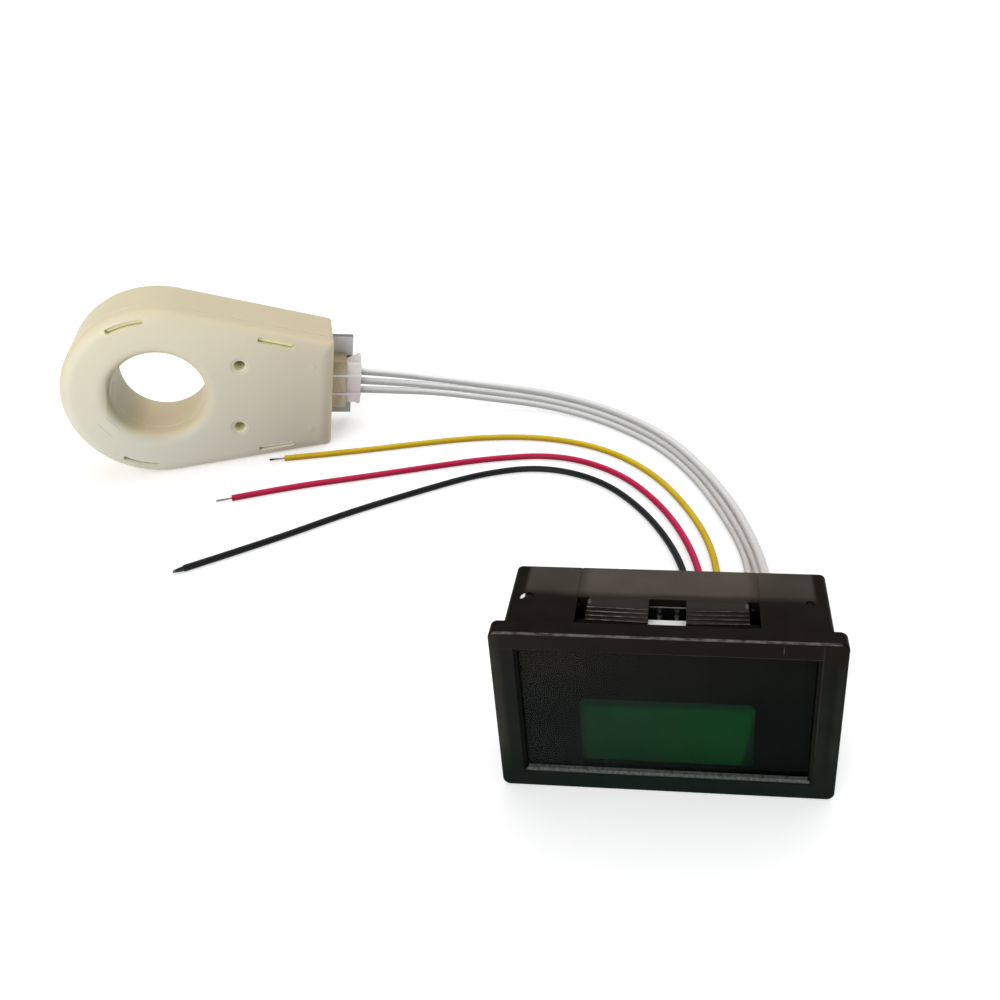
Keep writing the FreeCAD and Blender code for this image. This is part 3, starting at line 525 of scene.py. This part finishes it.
def board_grey():
    """The sensor's board: duller below, with a dark solder joint beside the header."""

    def solder(shader, colour):
        reach = shader.on_sensor(sensor_along)
        rise = shader.on_sensor(sensor_up)
        colour = shader.mix(shader.fade(rise, -2, -6, 0, 0.6), colour, (0.34, 0.4, 0.38))
        joint = shader.times(
            shader.within(reach, 41.4, 43.0, 0.25), shader.within(rise, 4.0, 5.2, 0.3),
            shader.facing(opposite(sensor_back)), shader.cloud(0.7, 3, 0.35, 0.6, 0.55, 1.0))
        return shader.mix(joint, colour, (0.05, 0.055, 0.06))
    return board("board_grey", (0.73, 0.735, 0.76), sensor_back, (0.2, 0.2, 0.18), 0.35, solder)


def header_tan():
    """Yellowed nylon, browner towards its upper end, with faint flow bands."""
    shader = Shader("header_tan", (0.5, 0.42, 0.3), 0.45, Subsurface_Weight=0.1,
                    Subsurface_Radius=(0.001, 0.001, 0.0005))
    upper = shader.fade(shader.on_sensor(sensor_up), 3, 6.2, 0, 0.8)
    bands = shader.cloud(0.9, 2, 0.35, 0.65, stretch=(1.6, 0.3, 0.3))
    lower = shader.mix(bands, (0.47, 0.405, 0.3), (0.57, 0.495, 0.375))
    shader.colour(shader.mix(upper, lower, (0.36, 0.29, 0.14)))
    shader.bump(shader.noise(0.4, 2), 0.008)
    return shader.material


def plug_white():
    """Milky nylon, white above and faintly lilac below."""
    shader = Shader("plug_white", (0.84, 0.8, 0.8), 0.4, Subsurface_Weight=0.2,
                    Subsurface_Radius=(0.0015, 0.0012, 0.001))
    lower = shader.fade(shader.on_sensor(sensor_up), 4, 0)
    milky = shader.mix(lower, (0.86, 0.85, 0.82), (0.74, 0.665, 0.71))
    shader.colour(shader.mix(shader.cloud(2.5, 3, 0.3, 0.7, 0, 0.15), milky, (0.7, 0.64, 0.66)))
    shader.bump(shader.noise(0.4, 2), 0.008)
    return shader.material


# The sensor's housing

trimmer_reach, trimmer_rise = 17.25, 7.8


def sensor_cream():
    """Cream plastic, with painted shade towards the socket and lower down, painted glow in the
    slots and holes, painted light at the seam, and two fine lines.
    """
    shader = Shader("sensor_cream", (0.78, 0.72, 0.56), 0.42, Specular_IOR_Level=0.3,
                    Subsurface_Weight=0.12, Subsurface_Radius=(0.004, 0.003, 0.0012))
    rise = shader.on_sensor(sensor_up)
    at = SimpleNamespace(
        reach=shader.on_sensor(sensor_along), depth=shader.on_sensor(sensor_back), rise=rise,
        low=shader.fade(rise, 16, -14), front=shader.facing(opposite(sensor_back), 0.35, 0.9))
    colour = cream_plain(shader, at)
    for layer in (cream_painted_glow, cream_seam_light, cream_lines):
        colour = layer(shader, at, colour)
    shader.colour(shader.mix(shader.cloud(12, 4, 0.3, 0.7, 0, 0.1), colour, (0.6, 0.55, 0.42)))
    shader.roughness(shader.cloud(3, 4, 0.3, 0.7, 0.36, 0.5))
    shader.bump(shader.noise(0.5, 3), 0.006)
    shader.bump(shader.noise(11, 2), 0.05)
    return shader.material


def cream_plain(shader, at):
    """Yellower on the sides, greener lower down; painted shade darkens the face lower down and
    towards the socket, the sides towards the socket, and the bore's wall.
    """
    # Painted shade towards the socket and lower down.
    lengthwise_shade = shader.fade(at.reach, -18, 30)
    shade_to_socket = shader.times(lengthwise_shade, shader.plus(0.5, shader.times(at.low, 0.5)))
    face = shader.mix(at.low, (0.88, 0.81, 0.605), (0.73, 0.725, 0.61))
    toned = shader.mix(at.low, (0.465, 0.41, 0.315), (0.475, 0.44, 0.37))
    side = shader.mix(lengthwise_shade, (0.78, 0.685, 0.454), (0.72, 0.61, 0.41))
    colour = shader.mix(at.front, side, shader.mix(shade_to_socket, face, toned))
    # Painted shade on the bore's wall.
    bore = shader.times(shader.facing(sensor_along, 0.3, 0.9),
                        shader.within(at.reach, -10.4, 5, 0.3), 0.85)
    return shader.mix(bore, colour, (0.34, 0.35, 0.25))


def cream_painted_glow(shader, at, colour):
    """Painted glow in the slots, on the hooks and in the trimmer holes, standing in for light
    through the thin plastic.
    """
    crosswise = shader.ramp(shader.absolute(shader.lean(sensor_back)), 0.2, 0.4, 1, 0)
    slot = shader.times(crosswise, shader.within(at.depth, 0.12, 1.15, 0.05),
                        shader.below(at.reach, 36, 0.3))
    hook = shader.times(shader.facing(opposite(sensor_back), 0.95, 0.99),
                        shader.within(at.depth, 1.0, 1.3, 0.05))
    from_hole = shader.distance(shader.minus(at.reach, trimmer_reach * MM),
                                shader.minus(shader.absolute(at.rise), trimmer_rise * MM))
    hole = shader.times(shader.below(from_hole, 1.34, 0.03), shader.within(at.depth, 0.3, 7, 0.05))
    pale = shader.mix(at.low, (0.9, 0.85, 0.55), (0.86, 0.87, 0.74))
    colour = shader.mix(shader.most(slot, hook, hole), colour, pale)
    return shader.mix(hole, colour, (1.0, 0.97, 0.72))


def cream_seam_light(shader, at, colour):
    """Painted highlight on the edge beside the seam, broken by noise, and painted light in the
    seam's groove that lifts its shade.
    """
    pale_line = shader.times(shader.within(at.depth, 4.75, 4.98, 0.1),
                          shader.cloud(5, 3, 0.35, 0.6, 0.2, 1.0), 0.5)
    seam = shader.within(at.depth, 5.02, 5.38, 0.02)
    return shader.mix(shader.most(pale_line, seam), colour, (0.9, 0.84, 0.66))


def cream_lines(shader, at, colour):
    """Two fine slanting lines on the lid, below left of the bore."""
    slant = shader.plus(shader.times(at.reach, 0.76), shader.times(at.rise, 0.65))
    run = shader.minus(shader.times(at.reach, 0.65), shader.times(at.rise, 0.76))
    first = shader.times(shader.within(slant, -11.62, -11.5, 0.12),
                         shader.within(run, -2.9, 0.9, 0.5))
    second = shader.times(shader.within(slant, -14.0, -13.88, 0.12),
                          shader.within(run, -2.6, 1.1, 0.5))
    lines = shader.times(shader.most(first, second), at.front, 0.5)
    return shader.mix(lines, colour, (0.45, 0.46, 0.4))


# Insulation and strands

def vinyl(name, base, shaded_under, roughness=0.38, mottle=0.08, shaded=None):
    """Soft wire insulation, darker underneath as painted shade, with the small gloss changes of
    extrusion.
    """
    shader = Shader(name, base, roughness, Specular_IOR_Level=0.2)
    upper = shader.mix(shader.cloud(5, 3, 0.3, 0.7), tint(base, 1 - mottle), tint(base, 1 + mottle))
    if shaded:
        upper = shaded(shader, upper)
    # Painted shade on faces turned down and to the front; the top colour on faces turned up and
    # back.
    shader.colour(shader.mix(shader.facing((0, 0.4, 0.92), -0.25, 0.75), shaded_under, upper))
    shader.roughness(shader.cloud(1.6, 3, 0.3, 0.7, roughness - 0.08, roughness + 0.1))
    shader.bump(shader.noise(0.5, 3), 0.012)
    return shader.material


def wire_white():
    """White insulation, a little yellowed towards the meter and cleaner towards the sensor."""

    def toned(shader, upper):
        clean = shader.fade(shader.coordinate(ACROSS), -38, -62)
        yellowed = shader.fade(shader.coordinate(BACK), 90, 45)
        upper = shader.mix(clean, upper, (1.0, 1.0, 1.0))
        return shader.mix(yellowed, upper, (0.76, 0.72, 0.69))
    return vinyl("wire_white", (0.8, 0.8, 0.785), (0.38, 0.38, 0.37), 0.42, 0.03, toned)


def wire_black():
    return vinyl("wire_black", (0.0055, 0.0075, 0.0078), (0.003, 0.004, 0.004), mottle=0.2)


def wire_red():
    return vinyl("wire_red", (0.6, 0.006, 0.075), (0.26, 0.002, 0.025), 0.34)


def wire_yellow():
    return vinyl("wire_yellow", (0.7, 0.48, 0.002), (0.34, 0.22, 0.002), 0.36)


def bare_copper():
    """Tinned copper, dull grey. The yellow lead's tip is dark, and the black lead's end is
    tarnished up to its bright tip."""
    shader = Shader("bare_copper", (0.36, 0.36, 0.36), 0.4, Metallic=1.0)
    back = shader.coordinate(BACK)
    across = shader.coordinate(ACROSS)
    tinned = shader.mix(shader.cloud(0.5, 3, 0.35, 0.65), (0.2, 0.21, 0.21), (0.42, 0.43, 0.42))
    yellow_tip = shader.times(shader.fade(back, 80, 84), shader.fade(across, -94.4, -95.6))
    black_end = shader.times(shader.fade(back, 60, 52), shader.fade(across, -99.0, -98.2))
    darkened = shader.mix(yellow_tip, tinned, (0.04, 0.045, 0.05))
    shader.colour(shader.mix(black_end, darkened, (0.035, 0.04, 0.04)))
    shader.roughness(shader.cloud(0.4, 3, 0.3, 0.7, 0.3, 0.5))
    return shader.material


FINISHES = {make.__name__: make for make in (
    case_black, smoked_acrylic, mask_black, display_green, diffuser_white, tinned_pin,
    board_green, board_grey, chip_black, ceramic_tan, header_tan, plug_white, sensor_cream,
    core_ferrite, trimmer_blue, adjuster_brass, wire_white, wire_black, wire_red, wire_yellow,
    bare_copper)}


@functools.cache
def finish_of(slot):
    return FINISHES[slot]()


def paint_nodes():
    for entry in frame["record"]["subparts"]:
        mesh = nodes[entry["node"]].data
        mesh.materials.clear()
        mesh.materials.append(finish_of(entry["material_slot"]))


# Wires, in millimetres. The routes follow the photograph, within a few millimetres of the solids,
# and run from the board or plug outwards.

black_route = [
    (0.5, 10.75, 8.0), (0.5, 21.5, 8.0), (1.0, 32.0, 3.2), (3.2, 43.5, 0.7), (0.2, 56.8, 0.7),
    (-7.1, 71.1, 0.7), (-17.4, 82.5, 0.7), (-30.9, 87.4, 0.7), (-44.4, 84.0, 0.7),
    (-57.7, 75.7, 0.7), (-70.8, 66.8, 0.7), (-83.2, 56.5, 0.7), (-97.3, 46.5, 0.7)]
red_route = [
    (3.0, 10.75, 8.0), (3.0, 21.5, 8.0), (3.6, 32.0, 3.2), (5.9, 43.4, 0.7), (3.4, 57.5, 0.7),
    (-2.9, 72.4, 0.7), (-13.2, 85.7, 0.7), (-27.6, 92.8, 0.7), (-43.4, 90.7, 0.7),
    (-58.3, 85.9, 0.7), (-72.9, 81.0, 0.7), (-86.4, 76.8, 0.7), (-98.3, 71.7, 0.7)]
yellow_route = [
    (5.5, 10.75, 8.0), (5.5, 21.5, 8.0), (6.2, 32.0, 3.2), (8.5, 43.4, 0.7), (7.7, 56.8, 0.7),
    (3.1, 70.7, 0.7), (-5.3, 85.4, 0.7), (-17.5, 96.2, 0.7), (-32.9, 101.0, 0.7),
    (-48.8, 100.2, 0.7), (-64.3, 96.2, 0.7), (-78.9, 92.1, 0.7), (-92.8, 88.9, 0.7)]

# The white wires leave the meter's plug side by side, lie one above the other on their way, and
# enter the sensor's plug one above the other.

white_upper_route = [
    (16.5, 19.25, 9.0), (16.5, 28.75, 9.0), (16.4, 36.0, 6.8), (17.2, 45.0, 3.9),
    (15.5, 56.0, 3.8), (11.5, 70.1, 3.8), (4.6, 85.15, 3.8), (-4.11, 98.63, 3.8),
    (-18.06, 110.78, 3.7), (-33.8, 117.6, 4.15), (-49.3, 118.1, 5.93),
    (-62.4, 115.8, 8.75), (-71.73, 111.48, 12.15), (-80.41, 108.05, 14.5)]
white_centre_route = [
    (14.0, 19.25, 9.0), (14.0, 28.75, 9.0), (15.2, 36.0, 5.4), (16.5, 45.0, 2.3),
    (14.5, 57.0, 2.3), (10.2, 71.15, 2.2), (4.2, 85.42, 2.2), (-4.62, 98.51, 2.2),
    (-18.68, 110.27, 2.2), (-34.0, 116.8, 2.65), (-49.0, 117.3, 4.4),
    (-62.0, 115.0, 7.15), (-72.16, 111.31, 9.8), (-80.84, 107.88, 12.05)]
white_lower_route = [
    (11.5, 19.25, 9.0), (11.5, 28.75, 9.0), (13.7, 36.0, 4.2), (14.6, 45.0, 0.85),
    (13.8, 57.1, 0.85), (9.31, 71.03, 0.85), (3.3, 85.21, 0.85), (-5.33, 98.18, 0.85),
    (-19.29, 109.77, 0.85), (-34.2, 116.0, 1.42), (-48.7, 116.4, 2.95),
    (-61.6, 114.2, 5.75), (-72.59, 111.14, 7.65), (-81.27, 107.71, 9.59)]

power_diameter = 1.4
white_diameter = 1.7

# Colour, route and length of each power lead, then its bare end: length, a strand's radius, and
# how far the twist draws together towards its tip
power_wires = (
    ("black", black_route, 169, 2.5, 0.2, 0.75),
    ("red", red_route, 170, 3.8, 0.075, 0.0),
    ("yellow", yellow_route, 173, 4.0, 0.08, 0.1))
white_wires = (
    ("upper", white_upper_route, 171),
    ("middle", white_centre_route, 169),
    ("lower", white_lower_route, 167))


def tube(name, lines, radius, slot, round_steps, length_steps):
    """One curve with a round section along each row of points."""
    curve = bpy.data.curves.new(name, "CURVE")
    curve.dimensions = "3D"
    curve.bevel_depth = radius * MM
    curve.bevel_resolution = round_steps
    curve.resolution_u = length_steps
    curve.use_fill_caps = True
    for line in lines:
        spline = curve.splines.new("NURBS")
        spline.points.add(len(line) - 1)
        for point, place in zip(spline.points, line):
            point.co = (*mm(*place), 1)
        spline.order_u = 3
        spline.use_endpoint_u = True
    curve.materials.append(finish_of(slot))
    piece = bpy.data.objects.new(name, curve)
    bpy.context.scene.collection.objects.link(piece)
    return piece


def cord(name, node, route, diameter, length, body, slot, **facts):
    piece = tube(name, [route], diameter / 2, slot, round_steps=6, length_steps=24)
    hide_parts(node)
    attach(piece, body)
    return piece


def strand(number, end, along, length, radius, taper, seed):
    """Points of one of the seven strands at a bare end: six twisted round a straight one."""
    sunk = 0.4
    twist = 2.6
    steps = 14
    across = along.cross(Vector((0, 0, 1))).normalized()
    up = across.cross(along)
    ring = 0 if number == 6 else 2 * radius
    spread = 0.2 * (1 + 0.35 * math.sin(seed + 2.3 * number))
    reach = length * (1 - 0.09 * (1 + math.sin(seed * 3 + 1.7 * number)) / 2)
    line = []
    for step in range(steps + 1):
        t = step / steps
        angle = number * math.pi / 3 + twist * t + seed
        out = ring * (1 - taper * t) * (1 + spread * t * t)
        outward = across * math.cos(angle) + up * math.sin(angle)
        line.append(end + along * (reach * t - sunk) + outward * out)
    return line


def bare_end(name, node, route, length, radius, taper, seed):
    """Twisted strands that stick out of a lead's insulation."""
    end = Vector(route[-1])
    along = (end - Vector(route[-2])).normalized()
    lines = [strand(number, end, along, length, radius, taper, seed) for number in range(7)]
    piece = tube(name, lines, radius, "bare_copper", round_steps=3, length_steps=12)
    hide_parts(node)
    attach(piece, "meter")
    return piece


def power_leads():
    for seed, (colour, route, length, bare, radius, taper) in enumerate(power_wires):
        node = "wire_" + colour
        end = bare_end("strands_" + colour, node + "_strands", route, bare, radius, taper, seed)
        cord("lead_" + colour, node, route, power_diameter, length, "meter", node, far_end="bare",
             with_pieces=[end])


def sensor_lead():
    for name, route, length in white_wires:
        cord("lead_white_" + name, "sensor_wire_" + name, route, white_diameter, length,
             "sensor_lead", "wire_white", far_end="object")


# Stage

def whitened(shader, strength):
    """Adds plain white to a background surface where it is seen directly, mirrored or through
    something clear."""
    path = shader.add("ShaderNodeLightPath")
    seen = shader.most(*(path.outputs["Is %s Ray" % kind]
                         for kind in ("Camera", "Transmission", "Glossy")))
    shader.set(shader.surface, "Emission Color", (1, 1, 1, 1))
    shader.set(shader.surface, "Emission Strength", shader.times(seen, strength))


def add_floor():
    side = 6
    corners = [(-side, -side, 0), (side, -side, 0), (side, side, 0), (-side, side, 0)]
    mesh = bpy.data.meshes.new("floor")
    mesh.from_pydata(corners, [], [(0, 1, 2, 3)])
    floor = bpy.data.objects.new("floor", mesh)
    bpy.context.scene.collection.objects.link(floor)
    shader = Shader("floor", (0.8, 0.8, 0.8), 0.8, Specular_IOR_Level=0.0)
    whitened(shader, 0.4)
    mesh.materials.append(shader.material)


def sun(name, source, angle, strength):
    """Wide soft white lamp, far off in the direction of its source."""
    data = bpy.data.lights.new(name, "SUN")
    data.angle = math.radians(angle)
    data.energy = strength * math.pi
    light = bpy.data.objects.new(name, data)
    bpy.context.scene.collection.objects.link(light)
    light.matrix_world = Vector(source).to_track_quat("Z", "Y").to_matrix().to_4x4()


def add_light():
    world = bpy.data.worlds.new("world")
    bpy.context.scene.world = world
    world.use_nodes = True
    background = world.node_tree.nodes["Background"]
    background.inputs["Color"].default_value = (0.97, 0.98, 1, 1)
    background.inputs["Strength"].default_value = 0.5
    sun("key", (-0.25, -0.88, 0.52), 50, 0.46)
    sun("top", (0.1, 0.5, 1.0), 60, 0.3)


bpy.context.scene.view_settings.view_transform = "Standard"
add_camera()
power_leads()
sensor_lead()
paint_nodes()
add_floor()
add_light()
